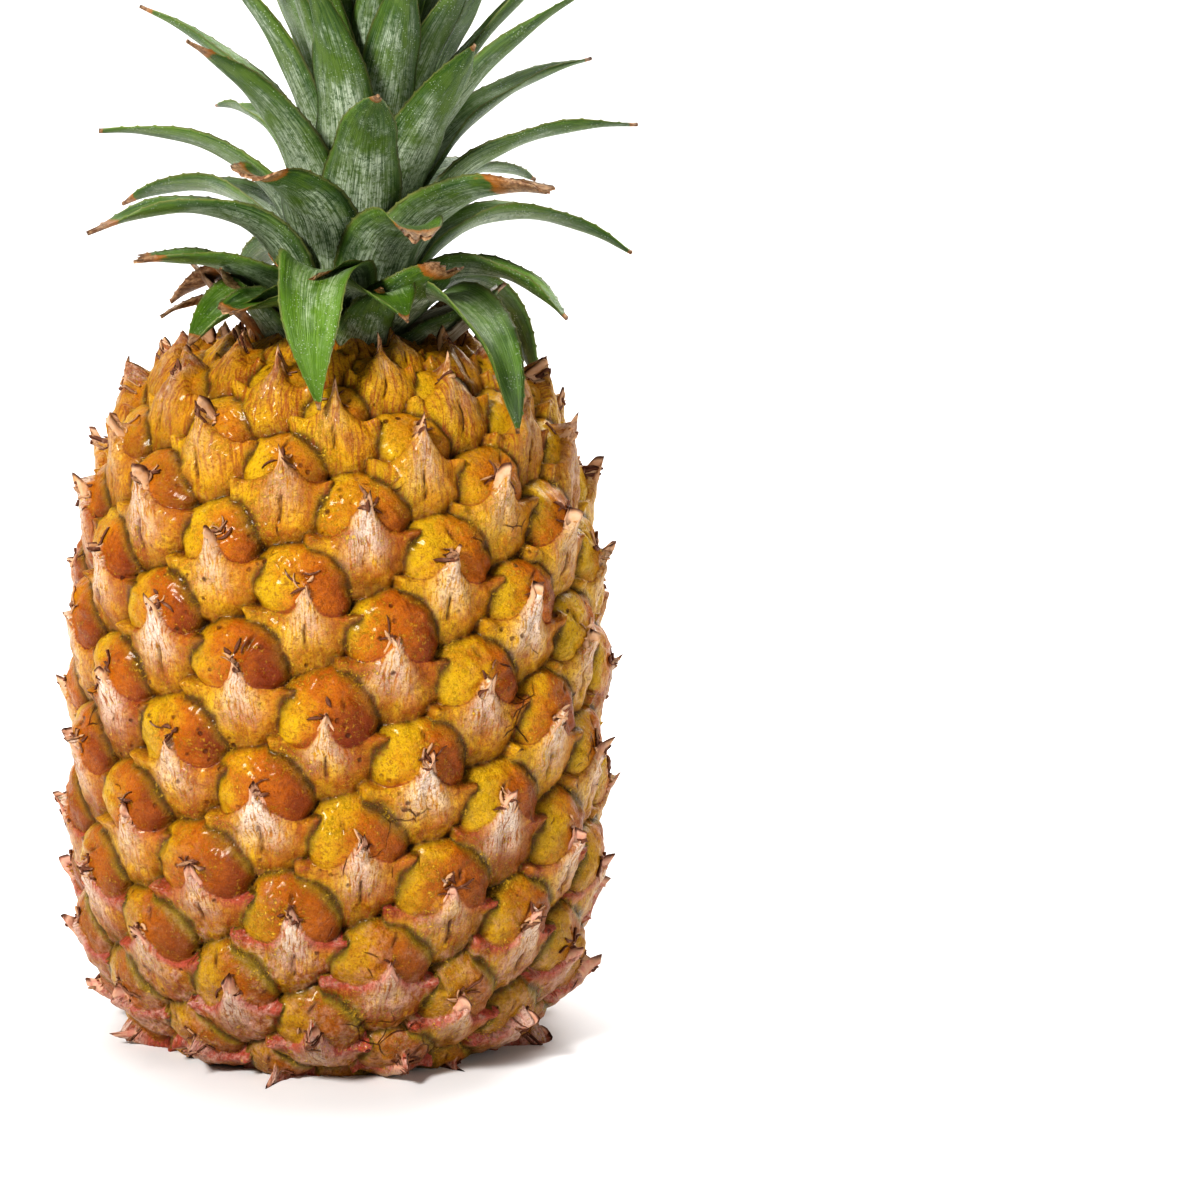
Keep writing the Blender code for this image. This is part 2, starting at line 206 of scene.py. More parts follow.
class Look:
    """A node material, built up by small calls that each return a socket."""

    def __init__(self, name):
        self.material = bpy.data.materials.new(name)
        self.material.use_nodes = True
        self.tree = self.material.node_tree
        self.shader = self.tree.nodes["Principled BSDF"]
        self.space = self.tree.nodes.new("ShaderNodeTexCoord").outputs["Object"]

    def put(self, socket, value):
        if isinstance(value, bpy.types.NodeSocket):
            self.tree.links.new(value, socket)
        elif isinstance(value, tuple) and len(value) == 3 and socket.type == "RGBA":
            socket.default_value = (*value, 1.0)
        else:
            socket.default_value = value

    def value(self, name):
        node = self.tree.nodes.new("ShaderNodeAttribute")
        node.attribute_name = name
        return node.outputs["Fac"]

    def values(self, *names):
        return [self.value(name) for name in names]

    def math(self, operation, first, second, clamp=False):
        node = self.tree.nodes.new("ShaderNodeMath")
        node.operation = operation
        node.use_clamp = clamp
        self.put(node.inputs[0], first)
        self.put(node.inputs[1], second)
        return node.outputs[0]

    def times(self, first, *others, clamp=False):
        for other in others:
            first = self.math("MULTIPLY", first, other, clamp)
        return first

    def scaled(self, value):
        """The value, which may come as a pair of a socket and what to multiply it by."""
        return self.times(*value) if isinstance(value, tuple) else value

    def plus(self, first, *others):
        first = self.scaled(first)
        for other in others:
            first = self.math("ADD", first, self.scaled(other))
        return first

    def minus(self, first, second):
        return self.math("SUBTRACT", first, second)

    def larger(self, first, second):
        return self.math("MAXIMUM", first, second)

    def size(self, value):
        return self.math("ABSOLUTE", value, 0.0)

    def ramp(self, value, low, high, start=0.0, end=1.0):
        """value from low to high turned smoothly into start to end."""
        node = self.tree.nodes.new("ShaderNodeMapRange")
        node.interpolation_type = "SMOOTHSTEP"
        for index, number in enumerate((value, low, high, start, end)):
            self.put(node.inputs[index], number)
        return node.outputs[0]

    def mix(self, share, first, second):
        node = self.tree.nodes.new("ShaderNodeMix")
        node.data_type = "RGBA"
        node.clamp_factor = True
        self.put(node.inputs[0], self.scaled(share))
        self.put(node.inputs[6], first)
        self.put(node.inputs[7], second)
        return node.outputs[2]

    def noise(self, scale, detail=3.0, rough=0.55, space=None):
        node = self.tree.nodes.new("ShaderNodeTexNoise")
        self.put(node.inputs["Vector"], space or self.space)
        node.inputs["Scale"].default_value = scale
        node.inputs["Detail"].default_value = detail
        node.inputs["Roughness"].default_value = rough
        return node.outputs["Fac"]

    def cells(self, scale, space=None, feature="F1"):
        node = self.tree.nodes.new("ShaderNodeTexVoronoi")
        node.feature = feature
        self.put(node.inputs["Vector"], space or self.space)
        node.inputs["Scale"].default_value = scale
        return node.outputs["Distance"]

    def bent(self, local_scale):
        """The object's space, a little wavy, so that what is drawn in it doesn't run straight."""
        node = self.tree.nodes.new("ShaderNodeVectorMath")
        node.operation = "MULTIPLY_ADD"
        wavy = self.tree.nodes.new("ShaderNodeTexNoise")
        self.put(wavy.inputs["Vector"], self.space)
        wavy.inputs["Scale"].default_value = 90.0
        self.put(node.inputs[0], wavy.outputs["Color"])
        node.inputs[1].default_value = (0.002 * local_scale,) * 3
        self.put(node.inputs[2], self.space)
        return node.outputs[0]

    def place(self, x, y, z=0.0):
        node = self.tree.nodes.new("ShaderNodeCombineXYZ")
        for socket, number in zip(node.inputs, (x, y, z)):
            self.put(socket, number)
        return node.outputs[0]

    def stretched(self, x, x_scale, y, y_scale, z=0.0):
        """A place for a texture that runs along a leaf or a bract."""
        return self.place(self.times(x, x_scale), self.times(y, y_scale), z)

    def finish(self, colour, roughness, height=None, depth=0.0002, **numbers):
        """The material with these on its shader, the height as a bump of this depth in metres."""
        self.put(self.shader.inputs["Base Color"], colour)
        self.put(self.shader.inputs["Roughness"], roughness)
        if height is not None:
            bump = self.tree.nodes.new("ShaderNodeBump")
            bump.inputs["Strength"].default_value = 1.0
            bump.inputs["Distance"].default_value = depth
            self.put(bump.inputs["Height"], height)
            self.put(self.shader.inputs["Normal"], bump.outputs[0])
        for name, number in numbers.items():
            self.shader.inputs[name.replace("_", " ")].default_value = number
        return self.material


def skin_look():
    """Golden to brown domes over yellow bracts, with red-brown lines and a white flame, and painted light:
    shade in the creases, the hollows and under the bracts' lips, a browner side away from the key light, and
    highlights among the speckles on the lit side.
    """
    look = Look("pineapple_skin")
    groove, seam, flame, stand = look.values("groove", "seam", "whiteness", "stand")
    side, upper = look.values("side", "upper")
    tint, tone, low, high = look.values("tint", "tone", "low", "high")
    broad = look.noise(75.0, 4.0, 0.6)
    patchy = look.noise(190.0, 5.0, 0.65)
    fine = look.noise(620.0, 5.0, 0.7)
    grain = look.noise(2300.0, 3.0, 0.65)
    streak = look.noise(
        1.0, 4.0, 0.65, look.stretched(look.value("local_x"), 2.1, look.value("local_y"), 0.30)
    )
    mottled = look.plus((patchy, 0.6), (fine, 0.4))

    # Partly painted shade: the side and upper terms make the right side of each eye, away from the key light,
    # browner and its top a little lighter, here and in the yellow below; tone, broad and mottled are the
    # skin's own colour.
    browning_and_side_shade = look.plus((side, 0.26), (upper, -0.06), (tone, 0.14), (broad, 0.55), (mottled, 0.60))
    golden = look.mix(look.ramp(browning_and_side_shade, 0.40, 0.66), (0.570, 0.345, 0.005), (0.440, 0.130, 0.003))
    golden = look.mix(look.ramp(browning_and_side_shade, 0.60, 0.96), golden, (0.190, 0.032, 0.002))
    yellow = look.mix(
        look.ramp(look.plus(mottled, (side, 0.10)), 0.38, 0.62), (0.620, 0.365, 0.006), (0.480, 0.190, 0.004)
    )
    yellow = look.mix(
        look.ramp(look.plus((tint, 0.4), patchy), 0.60, 0.95, 0.0, 0.80), yellow, (0.270, 0.050, 0.003)
    )
    is_bract = look.ramp(seam, -0.2, 0.2, 1.0, 0.0)
    colour = look.mix(is_bract, golden, yellow)
    colour = look.mix((high, look.ramp(mottled, 0.35, 0.6, 0.1, 0.6)), colour, (0.600, 0.370, 0.012))
    colour = look.mix((low, look.ramp(patchy, 0.30, 0.62, 0.30, 0.75)), colour, (0.225, 0.078, 0.002))

    rim = look.minus(groove, look.times(mottled, 0.30))
    olive = look.times(
        look.ramp(rim, 0.10, 0.80, 1.0, 0.0), look.ramp(look.plus(low, broad), 0.4, 1.2, 0.40, 0.95)
    )
    colour = look.mix(olive, colour, (0.240, 0.165, 0.006))
    # Painted shade: the skin is darkened where it stands low, at the creases between eyes and in the deepest
    # hollows.
    painted_shade_by_height = look.ramp(look.plus(stand, (patchy, 1.4)), 0.6, 3.3, 1.0, 0.0)
    colour = look.mix((painted_shade_by_height, 0.62), colour, (0.165, 0.072, 0.004))
    painted_crease_shade = look.ramp(rim, -0.16, 0.30, 1.0, 0.0)
    colour = look.mix((painted_crease_shade, 0.88), colour, (0.060, 0.030, 0.002))
    painted_hollow_shade = look.ramp(stand, -1.1, 0.8, 1.0, 0.0)
    colour = look.mix((painted_hollow_shade, 0.85), colour, (0.045, 0.020, 0.002))

    # Painted shade: a dark red line on the dome just above each bract's edge, in the crease under its lip.
    wing = look.times(
        look.ramp(seam, 0.0, 0.25),
        look.ramp(seam, 0.5, 2.4, 1.0, 0.0),
        look.ramp(upper, -0.62, 0.30, 1.0, 0.0),
        look.ramp(patchy, 0.28, 0.60, 0.40, 1.0),
    )
    colour = look.mix((wing, 0.85), colour, (0.190, 0.026, 0.006))
    lip = look.times(is_bract, look.ramp(look.value("edge"), 0.1, 3.2, 1.0, 0.0))
    pink = look.times(lip, look.ramp(look.plus(low, patchy), 0.55, 1.15, 0.12, 0.85))
    colour = look.mix(pink, colour, (0.410, 0.070, 0.058))

    threads = look.noise(
        1.0, 3.0, 0.6, look.stretched(look.value("local_x"), 1.3, look.value("local_y"), 0.16, tint)
    )
    reddish = look.times(
        is_bract, look.ramp(threads, 0.47, 0.62), look.ramp(look.larger(high, low), 0.0, 1.0, 0.32, 0.74)
    )
    colour = look.mix(reddish, colour, (0.245, 0.040, 0.008))

    white = look.times(flame, look.ramp(streak, 0.32, 0.52, 0.25, 1.35))
    white = look.times(white, look.ramp(grain, 0.25, 0.55, 0.55, 1.0), clamp=True)
    white = look.times(white, look.ramp(look.larger(high, low), 0.2, 1.0, 1.0, 0.68))
    blush = look.mix(look.ramp(streak, 0.35, 0.52), (0.520, 0.190, 0.095), (0.840, 0.680, 0.560))
    blush = look.mix((high, look.ramp(fine, 0.35, 0.60, 0.3, 0.9)), blush, (0.300, 0.090, 0.035))
    colour = look.mix(white, colour, blush)
    dusty = look.times(
        look.ramp(look.plus(look.noise(130.0, 5.0, 0.72), (low, 0.14)), 0.56, 0.68),
        look.ramp(groove, 0.10, 0.6),
        look.ramp(fine, 0.40, 0.60, 0.0, 1.0),
        look.ramp(low, 0.0, 1.0, 0.15, 0.66),
        look.ramp(is_bract, 0.0, 1.0, 0.55, 1.0),
    )
    colour = look.mix(dusty, colour, (0.560, 0.350, 0.285))

    sparkle = look.plus((look.noise(1250.0, 5.0, 0.8), 0.75), (patchy, 0.25))
    # Fine yellow speckles, partly the skin's own and partly painted highlight: they are thicker on the left
    # side of each eye, which faces the key light.
    speckle_and_highlight = look.times(
        look.ramp(sparkle, 0.53, 0.62),
        look.ramp(patchy, 0.36, 0.60, 0.2, 1.0),
        look.ramp(side, -0.9, 0.9, 1.0, 0.45),
    )
    colour = look.mix((speckle_and_highlight, 0.85), colour, (0.860, 0.540, 0.055))
    shade = look.ramp(sparkle, 0.38, 0.50, 1.0, 0.0)
    colour = look.mix((shade, 0.64), colour, (0.170, 0.042, 0.002))
    spots = look.times(look.ramp(look.cells(290.0), 0.07, 0.20, 1.0, 0.0), look.ramp(broad, 0.46, 0.62))
    cracks = look.times(
        look.ramp(
            look.cells(150.0, feature="DISTANCE_TO_EDGE", space=look.bent(local_scale=3.0)),
            0.004,
            0.026,
            1.0,
            0.0,
        ),
        look.ramp(look.noise(58.0, 3.0), 0.61, 0.68),
    )
    marks = look.larger(
        look.larger(spots, cracks), look.times(look.value("scar"), look.ramp(fine, 0.25, 0.6, 0.55, 1.0))
    )
    colour = look.mix((marks, 0.85), colour, (0.085, 0.022, 0.006))

    rough = look.ramp(look.plus(fine, (look.larger(white, dusty), 0.6)), 0.3, 1.1, 0.26, 0.70)
    height = look.plus(fine, (grain, 0.40), (speckle_and_highlight, 0.35), look.times(streak, flame, 1.6))
    height = look.minus(height, look.times(marks, 0.9))
    return look.finish(
        colour, rough, height, depth=0.00060, Coat_Weight=0.14, Coat_Roughness=0.16, Specular_IOR_Level=0.22
    )


def bract_look():
    """The free edges of the bracts: powdery at the spine, pink to red along the wings, dry at the tips."""
    look = Look("bract_edges")
    tip, low, tint = look.values("tip", "low", "tint")
    fibre = look.noise(1.0, 4.0, 0.6, look.stretched(look.value("across"), 26.0, tip, 2.0, tint))
    fine = look.noise(700.0, 4.0, 0.65)
    wing = look.mix(look.ramp(look.plus(low, fine), 0.55, 1.15), (0.52, 0.235, 0.045), (0.46, 0.085, 0.060))
    wing = look.mix(look.ramp(fibre, 0.40, 0.62, 0.0, 0.7), wing, (0.62, 0.38, 0.20))
    powder = look.times(look.value("spine"), look.ramp(fine, 0.3, 0.6, 0.45, 1.0))
    colour = look.mix((powder, 0.7), wing, (0.60, 0.40, 0.29))
    colour = look.mix(look.ramp(look.plus(tip, (fine, 0.3)), 0.74, 1.06), colour, (0.125, 0.040, 0.014))
    height = look.plus(fibre, (fine, 0.5))
    return look.finish(colour, look.ramp(fine, 0.3, 0.7, 0.5, 0.8), height, depth=0.0002)


def remnant_look():
    """The dried flower parts left on the eyes: papery, tan to dark brown."""
    look = Look("dried_flower")
    fine = look.noise(1300.0, 4.0, 0.7)
    tone = look.value("tone")
    colour = look.mix(
        look.ramp(look.plus(tone, (fine, 0.6)), 0.55, 1.1), (0.135, 0.045, 0.018), (0.52, 0.31, 0.17)
    )
    colour = look.mix(look.ramp(look.noise(420.0, 3.0), 0.55, 0.72, 0.0, 0.4), colour, (0.60, 0.42, 0.30))
    return look.finish(colour, look.ramp(fine, 0.3, 0.7, 0.6, 0.9), fine, depth=0.0002)


def leaf_look():
    """Deep green with fine lines and a silver bloom, a pale foot, a pale edge and a dry brown tip."""
    look = Look("crown_leaf")
    along, across, upper = look.values("along", "across", "upper")
    dry, tint = look.values("dry", "tint")
    shift = look.times(tint, 37.0)
    lines = look.noise(1.0, 3.0, 0.6, look.stretched(across, 24.0, along, 3.0, shift))
    threads = look.noise(1.0, 2.0, 0.6, look.stretched(across, 70.0, along, 9.0, shift))
    broad = look.noise(85.0, 4.0, 0.6)
    fine = look.noise(900.0, 4.0, 0.7)
    patch = look.noise(1.0, 4.0, 0.65, look.stretched(across, 2.2, along, 7.0, shift))

    green = look.mix(
        look.ramp(look.plus(broad, (tint, 0.3)), 0.45, 0.85), (0.018, 0.060, 0.003), (0.100, 0.200, 0.008)
    )
    green = look.mix(look.ramp(lines, 0.42, 0.62, 0.0, 0.5), green, (0.165, 0.270, 0.020))
    back = look.mix(
        look.ramp(look.plus(patch, (lines, 0.5)), 0.60, 0.92), (0.030, 0.088, 0.004), (0.120, 0.195, 0.025)
    )
    colour = look.mix(upper, back, green)

    spread_out = look.plus(along, (look.minus(patch, 0.5), 1.3))
    inner = look.ramp(look.size(across), 0.40, 0.92, 1.0, 0.12)
    zone = look.times(
        look.ramp(spread_out, 0.34, 0.78, 1.0, 0.06), inner, look.ramp(upper, 0.0, 1.0, 1.0, 0.60)
    )
    bloom = look.times(zone, look.ramp(look.plus((threads, 0.6), (lines, 0.4)), 0.40, 0.58, 0.22, 1.15))
    bloom = look.times(bloom, look.ramp(fine, 0.36, 0.56, 0.30, 1.0), clamp=True)
    colour = look.mix((bloom, 0.95), colour, (0.610, 0.670, 0.520))
    grains = look.times(
        look.ramp(look.cells(1700.0), 0.12, 0.30, 1.0, 0.0), look.ramp(look.noise(200.0, 3.0), 0.44, 0.60)
    )
    colour = look.mix((grains, 0.60), colour, (0.66, 0.71, 0.62))

    foot = look.ramp(look.plus(along, (broad, 0.10)), 0.04, 0.20, 1.0, 0.0)
    colour = look.mix((foot, 0.6), colour, (0.22, 0.27, 0.08))
    edge = look.ramp(look.size(across), 0.90, 0.995)
    colour = look.mix((edge, 0.55), colour, (0.42, 0.40, 0.15))

    ragged = look.plus(dry, (look.minus(look.noise(330.0, 4.0), 0.5), 0.55), (look.minus(lines, 0.5), 0.35))
    straw = look.mix(look.ramp(fine, 0.35, 0.65), (0.170, 0.072, 0.025), (0.500, 0.310, 0.170))
    rusty = look.mix(look.ramp(ragged, 0.50, 0.80), (0.400, 0.150, 0.018), straw)
    bleached = look.mix(look.ramp(lines, 0.38, 0.62), (0.400, 0.340, 0.240), (0.700, 0.680, 0.600))
    rusty = look.mix(look.value("pale"), rusty, bleached)
    colour = look.mix(look.ramp(ragged, 0.42, 0.56), colour, rusty)

    rough = look.ramp(look.plus(fine, (bloom, 0.5)), 0.3, 1.1, 0.30, 0.66)
    height = look.plus((lines, 1.3), (threads, 0.8), (grains, 0.5), (fine, 0.4))
    return look.finish(colour, rough, height, depth=0.00022)


def stalk_look():
    """A dry cut across fibres: rings of tan and brown with darker bundles and a greenish rind."""
    look = Look("cut_stalk_fibre")
    rim = look.value("rim")
    bundles = look.cells(900.0)
    fine = look.noise(1500.0, 4.0, 0.7)
    broad = look.noise(240.0, 4.0, 0.6)
    colour = look.mix(look.ramp(broad, 0.36, 0.64), (0.50, 0.34, 0.16), (0.33, 0.185, 0.070))
    colour = look.mix(look.ramp(bundles, 0.16, 0.34, 0.8, 0.0), colour, (0.155, 0.075, 0.028))
    colour = look.mix(look.ramp(look.plus(rim, (fine, 0.2)), 0.90, 1.08), colour, (0.165, 0.150, 0.040))
    height = look.minus(fine, look.ramp(bundles, 0.10, 0.34, 1.0, 0.0))
    return look.finish(colour, look.ramp(fine, 0.3, 0.7, 0.7, 0.92), height, depth=0.0004)


def pith_look():
    """The crown's stem: pale green-white tissue, browner where it dries."""
    look = Look("crown_pith")
    broad, fine = look.noise(160.0, 4.0, 0.6), look.noise(1200.0, 4.0, 0.7)
    colour = look.mix(look.ramp(broad, 0.38, 0.64), (0.50, 0.50, 0.22), (0.30, 0.19, 0.07))
    return look.finish(colour, look.ramp(fine, 0.3, 0.7, 0.5, 0.8), fine, depth=0.0002)


# ---- the fruit's skin


def half_section(height, squareness, turn):
    """Radius and height of a quarter of a rounded square set off from the axis."""
    power = 2.0 / squareness
    radius = CORE_RADIUS + (BARREL_RADIUS - CORE_RADIUS) * np.cos(turn) ** power
    return radius, height * np.sign(turn) * np.abs(np.sin(turn)) ** power


class Barrel:
    """The fruit's section, and the spiral of eyes on it."""

    def __init__(self):
        waist = FRUIT_HEIGHT * WAIST_SHARE
        down, up = np.linspace(-math.pi / 2, 0, 200), np.linspace(0, math.pi / 2, 200)[1:]
        low_radius, low_height = half_section(waist + BASE_TRIM, BASE_SQUARENESS, down)
        top_radius, top_height = half_section(FRUIT_HEIGHT - waist, TOP_SQUARENESS, up)
        self.radius = np.concatenate([[0.0], low_radius, top_radius, [0.0]])
        self.height = np.concatenate([low_height[:1], low_height, top_height, top_height[-1:]]) + waist
        self.along = summed(np.hypot(np.diff(self.radius), np.diff(self.height)))
        self.length = self.along[-1]
        self.rise = EYE_STEP * (np.maximum(self.radius, CORE_RADIUS) / BARREL_RADIUS) ** EYE_CROWDING
        steps = np.diff(self.along) / ((self.rise[1:] + self.rise[:-1]) / 2)
        self.passed = summed(steps)
        self.passed += EYE_START - self.passed[np.argmax(self.radius)]
        self.out, self.lift = np.gradient(self.height, self.along), -np.gradient(self.radius, self.along)
        self.first = math.ceil(self.passed[0])
        self.count = math.floor(self.passed[-1]) - self.first + 1
        self.chance = np.random.default_rng(5).random((self.count + 80, 8))

    def at(self, along, name):
        return np.interp(along, self.along, getattr(self, name))

    def own(self, eye, column):
        """An eye's own random number from 0 to 1."""
        return self.chance[(np.asarray(eye, int) - self.first + 40) % len(self.chance), column]

    def eye_fields(self, angle, along):
        """For each place: the eye that shows there, where in that eye it is, and how far its parts stand out.

        The skin is the upper envelope of domes and bracts. Lengths in an eye are millimetres of a full eye.
        """
        radius = np.maximum(self.at(along, "radius"), CORE_RADIUS)
        passed, rise = self.at(along, "passed"), self.at(along, "rise")
        half = np.sqrt(rise * 2.0 * math.pi * radius) * EYE_HALF_SHARE
        full = FULL_EYE / half * 1000.0
        tall = spikiness(along)
        best, other = np.full(len(angle), -9.0), np.full(len(angle), -9.0)
        kept = {key: np.zeros(len(angle)) for key in ("eye", "x", "y", "dome", "bract", "below", "rising")}
        for step in range(-EYE_NEIGHBOURS, EYE_NEIGHBOURS + 1):
            eye = np.round(passed) + step
            turn = angle + eye * EYE_TURN - EYE_PHASE
            turn = (turn + math.pi) % (2.0 * math.pi) - math.pi
            x, y = turn * radius * full, (passed - eye) * rise * full
            near = np.flatnonzero(np.hypot(x, y) < EYE_REACH)
            x, y, eye = x[near], y[near], eye[near]
            dome = dome_field(x, y, eye, tall[near])
            bract, below, rising = bract_field(x, y, eye, tall[near])
            height = np.maximum(dome, bract)
            wins = height > best[near]
            other[near] = np.where(wins, best[near], np.maximum(other[near], height))
            best[near] = np.where(wins, height, best[near])
            for key, found in zip(kept, (eye, x, y, dome, bract, below, rising)):
                kept[key][near] = np.where(wins, found, kept[key][near])
        return best, other, half, kept

    def middle_of(self, eye):
        """Angle and length along the section of an eye's middle."""
        return EYE_PHASE - eye * EYE_TURN, np.interp(eye, self.passed, self.along)

    def places(self, angle, along, raised):
        """Places in space, raised off the barrel along its normal, and no lower than the ground."""
        r = self.at(along, "radius") + raised * self.at(along, "out")
        z = self.at(along, "height") + raised * self.at(along, "lift")
        return np.stack([r * np.cos(angle), r * np.sin(angle), np.maximum(z, 0.0)], 1)


BARREL = Barrel()


def spikiness(along):
    """How much longer the bracts' tips are: most by the crown, some at the foot."""
    share = along / BARREL.length
    return 1.0 + 0.9 * smoothstep((share - 0.62) / 0.25) + 0.5 * smoothstep((0.36 - share) / 0.2)


def lean_of(eye):
    """How far to one side an eye's spine stands."""
    return (BARREL.own(eye, 0) - 0.5) * 2.6


def margin_line(x, eye, tall=1.0):
    """Height in an eye of its bract's upper edge: a curly bracket with its point in the middle."""
    off = np.abs(x - lean_of(eye))
    wing = -5.0 + 1.3 * (BARREL.own(eye, 1) - 0.5) + 1.3 * (x / 11.5) ** 2
    return wing + (5.6 + 2.4 * BARREL.own(eye, 2)) * tall**0.5 * np.exp(-((off / (2.7 * tall**0.8)) ** 1.2))


def dome_field(x, y, eye, tall):
    """The round upper part of an eye. By the crown and the foot it is lower."""
    wide = 10.9 + 0.9 * (BARREL.own(eye, 3) - 0.5)
    share = (np.abs(x) / wide) ** 2.3 + (np.abs(y - 1.8) / (9.3 + 0.8 * (BARREL.own(eye, 4) - 0.5))) ** 2.2
    high = (5.2 + 1.0 * (BARREL.own(eye, 5) - 0.5)) * tall**-0.35
    return np.where(share < 1.0, high * np.sqrt(np.clip(1.0 - share, 0.0, 1.0)), -2.0 * (share - 1.0)) - 0.9


def bract_field(x, y, eye, tall):
    """The shield below the dome, its distance below the bract's edge, and its share of the way up to it."""
    off = x - lean_of(eye)
    edge = margin_line(x, eye, tall)
    foot = -17.8 + 0.050 * x * x + 0.12 * np.abs(x)
    rising = np.clip((y - foot) / (edge - foot), 0.0, 1.0)
    below = edge - y
    inside = np.clip(below, 0.0, None)
    lip = 2.6 - 0.9 * (x / 11.5) ** 2 + 0.7 * (BARREL.own(eye, 6) - 0.5)
    height = -1.1 + (lip + 1.1) * rising**0.5
    spread = (1.0 + 0.40 * np.clip(0.6 + 2.4 * BARREL.own(eye, 2) - y, 0.0, 14.0)) * tall**0.8
    keel = np.exp(-(np.abs(off / spread) ** 1.5)) * np.exp(-inside / 11.0) * rising**0.3
    height += (4.0 + 0.5 * BARREL.own(eye, 2)) * tall**1.1 * keel
    height += 1.7 * tall * np.exp(-(((np.abs(x) - 11.2) / 2.0) ** 2)) * np.exp(-inside / 2.5)
    height -= 3.0 * np.clip(-below, 0.0, None) + 3.0 * np.clip((foot - y) / 3.0, 0.0, None)
    height -= 2.2 * np.clip(np.abs(x) - 11.8, 0.0, None)
    return height, below, rising


def skin_height(angle, along):
    """How far the skin stands off the barrel, and what its material needs to know there."""
    flat = BARREL.places(angle, along, 0.0)
    reach = np.maximum(BARREL.at(along, "radius"), 0.02)
    bend = waves(flat, 75.0, 3) * 0.0007 + waves(flat, 260.0, 8) * 0.00016
    shift = waves(flat, 75.0, 4) * 0.0007 + waves(flat, 260.0, 9) * 0.00016
    best, other, half, eye = BARREL.eye_fields(angle + bend / reach, along + shift)
    which, x, y = eye["eye"], eye["x"], eye["y"]
    own = [BARREL.own(which, column) for column in range(8)]
    off = x - lean_of(which)
    seam = eye["dome"] - eye["bract"]
    on_bract = smoothstep((0.25 - seam) / 0.5)
    crease = smoothstep(off / 0.5 + 1.0) * smoothstep(1.0 - off / 0.5)  # down the middle of some bracts
    crease *= smoothstep(-y - 6.0)
    crease *= smoothstep((y + 12.5) / 1.5)
    crease *= (own[4] > 0.5) * on_bract
    slit_x, slit_y = (own[5] - 0.5) * 9.0, 3.0 + 4.5 * own[6]
    slit_turn = (own[7] - 0.5) * 2.4
    across_slit = (x - slit_x) * np.cos(slit_turn) + (y - slit_y) * np.sin(slit_turn)
    along_slit = (y - slit_y) * np.cos(slit_turn) - (x - slit_x) * np.sin(slit_turn)
    slit = np.exp(-((across_slit / 0.38) ** 2) - (along_slit / 1.5) ** 2) * (1.0 - on_bract) * (own[1] > 0.35)
    scar = np.clip(np.maximum(crease, slit), 0.0, 1.0)
    folds = 0.26 * waves(flat, 170.0, 6) + 0.20 * waves(flat, 360.0, 12) + 0.09 * waves(flat, 760.0, 7)
    best = np.maximum(best, -1.3) + folds - 0.45 * scar
    from_core = np.minimum(along, BARREL.length - along) - CORE_RADIUS
    height = best * 0.001 * (half / FULL_EYE) ** 0.7 * smoothstep(from_core / EYE_FADE)
    share = BARREL.at(along, "height") / FRUIT_HEIGHT
    flame = np.exp(-((off / (1.7 + 0.22 * np.clip(2.0 - y, 0.0, 14.0))) ** 2))
    flame *= smoothstep((eye["rising"] - 0.25) / 0.6)
    flame *= on_bract * (0.40 + 0.60 * own[2])
    values = {
        "groove": np.clip((best - np.maximum(other, -1.3)) / 3.0, 0.0, 1.0),
        "seam": seam,
        "stand": best,
        "whiteness": np.clip(flame, 0.0, 1.0),
        "edge": eye["below"],
        "local_x": x + 40.0 * own[3],
        "local_y": y + 40.0 * own[6],
        "side": np.clip(x / 10.0, -1.2, 1.2),
        "upper": np.clip(y / 10.0, -1.2, 1.2),
        "tint": own[3],
        "tone": own[5],
        "low": 1.0 - smoothstep((share - 0.02) / 0.48),
        "high": smoothstep((share - 0.70) / 0.30),
        "scar": scar,
    }
    return height, values


def add_skin():
    """The fruit's skin as one fine mesh, turned in round the stalk and the stem."""
    start = float(np.interp(STALK_RADIUS + SEAT_GAP, BARREL.radius[:200], BARREL.along[:200]))
    end = BARREL.length - SKIN_END
    rows = np.linspace(start, end, SKIN_ROWS)
    turns = np.linspace(-math.pi, math.pi, SKIN_COLUMNS, endpoint=False)
    along, angle = (a.ravel() for a in np.meshgrid(rows, turns, indexing="ij"))
    raised, values = skin_height(angle, along)
    points = BARREL.places(angle, along, raised)
    faces = grid_faces(SKIN_ROWS, SKIN_COLUMNS, True)
    edge = np.arange(SKIN_COLUMNS)
    depth = np.array([0.0, 0.0, COLLAR_DEPTH])
    inside = points[edge] * np.array([1.0, 1.0, 0.0]) + depth  # the recess round the stalk
    top = points[-SKIN_COLUMNS:] - depth  # and round the stem
    total = len(points)
    following = (edge + 1) % SKIN_COLUMNS
    recess = np.stack([total + edge, total + following, following, edge], 1)
    last = total - SKIN_COLUMNS
    collar = np.stack(
        [last + edge, last + following, total + SKIN_COLUMNS + following, total + SKIN_COLUMNS + edge], 1
    )
    points = np.concatenate([points, inside, top])
    values = {k: np.concatenate([v, v[edge], v[last:]]) for k, v in values.items()}
    return make_piece(
        "skin", points, np.concatenate([faces, recess, collar]), skin_look(), values, "fruit"
    )


